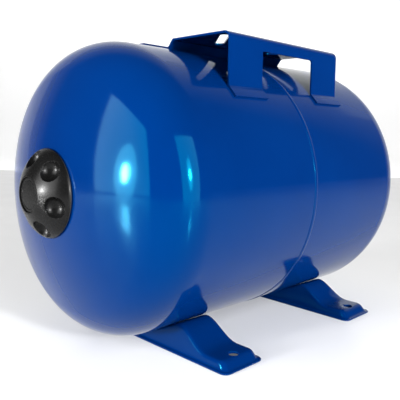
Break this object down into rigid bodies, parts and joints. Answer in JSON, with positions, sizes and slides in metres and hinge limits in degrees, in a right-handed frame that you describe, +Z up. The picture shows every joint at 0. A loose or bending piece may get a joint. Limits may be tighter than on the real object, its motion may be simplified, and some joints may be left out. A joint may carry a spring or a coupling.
{
  "type": "expansion vessel",
  "caption": "Horizontal pressure vessel with a rubber membrane, pressed feet, a slotted pump bracket on top, a threaded water flange and an air valve under a round cover cap.",
  "frame": {"origin": "on the floor, below the middle of the overall length and width", "axes": "+X along the tank towards the water flange, +Z up"},
  "size_m": [0.4822, 0.2812, 0.299],
  "materials": {
    "tank_paint": "gloss powder coat on steel sheet",
    "zinc_plate": "bright zinc plate",
    "valve_brass": "turned",
    "spring_steel": "drawn wire",
    "membrane_rubber": "matt",
    "seal_rubber": "matt",
    "cap_plastic": "satin black moulding"
  },
  "bodies": {
    "vessel": {"front_shell": "tank_paint", "rear_shell": "tank_paint", "seam_weld": "tank_paint", "air_end_foot": "tank_paint", "flange_end_foot": "tank_paint", "pump_bracket": "tank_paint", "flange_ring": "tank_paint", "membrane": "membrane_rubber", "counter_flange": "zinc_plate", "connection_nipple": "zinc_plate", "flange_bolts": "zinc_plate", "flange_washers": "zinc_plate", "valve_boss": "zinc_plate", "valve_seal": "seal_rubber", "valve_stem": "valve_brass", "valve_core": "valve_brass", "valve_spring": "spring_steel"},
    "pin": {"valve_pin": "valve_brass", "valve_seat_seal": "seal_rubber"},
    "dust_cap_carrier": {"dust_cap_seal": "seal_rubber"},
    "dust_cap": {"dust_cap": "cap_plastic"},
    "cover_carrier": {"cap_seal": "seal_rubber"},
    "cover": {"cover_cap": "cap_plastic", "cap_disc": "cap_plastic"}
  },
  "joints": [
    {"name": "cover_cap_pull", "type": "slide", "parent": "vessel", "child": "cover_carrier", "axis": [-1, 0, 0], "range_m": [0, 0.06]},
    {"name": "cover_cap_turn", "type": "hinge", "parent": "cover_carrier", "child": "cover", "pos_m": [-0.22, 0, 0.15], "axis": [-1, 0, 0], "continuous": true},
    {"name": "dust_cap_lift", "type": "slide", "parent": "vessel", "child": "dust_cap_carrier", "axis": [-1, 0, 0], "range_m": [0, 0.00556]},
    {"name": "dust_cap_turn", "type": "hinge", "parent": "dust_cap_carrier", "child": "dust_cap", "pos_m": [-0.226, 0, 0.15], "axis": [-1, 0, 0], "range_deg": [0, 2520]},
    {"name": "valve_pin_press", "type": "slide", "parent": "vessel", "child": "pin", "axis": [1, 0, 0], "range_m": [0, 0.0012], "stiffness_N_per_m": 150, "springref_m": -0.003, "deforming": ["valve_spring"]}
  ],
  "couplings": [
    {"joint": "dust_cap_turn", "follows": "dust_cap_lift", "rad_per_m": 7913.3}
  ]
}
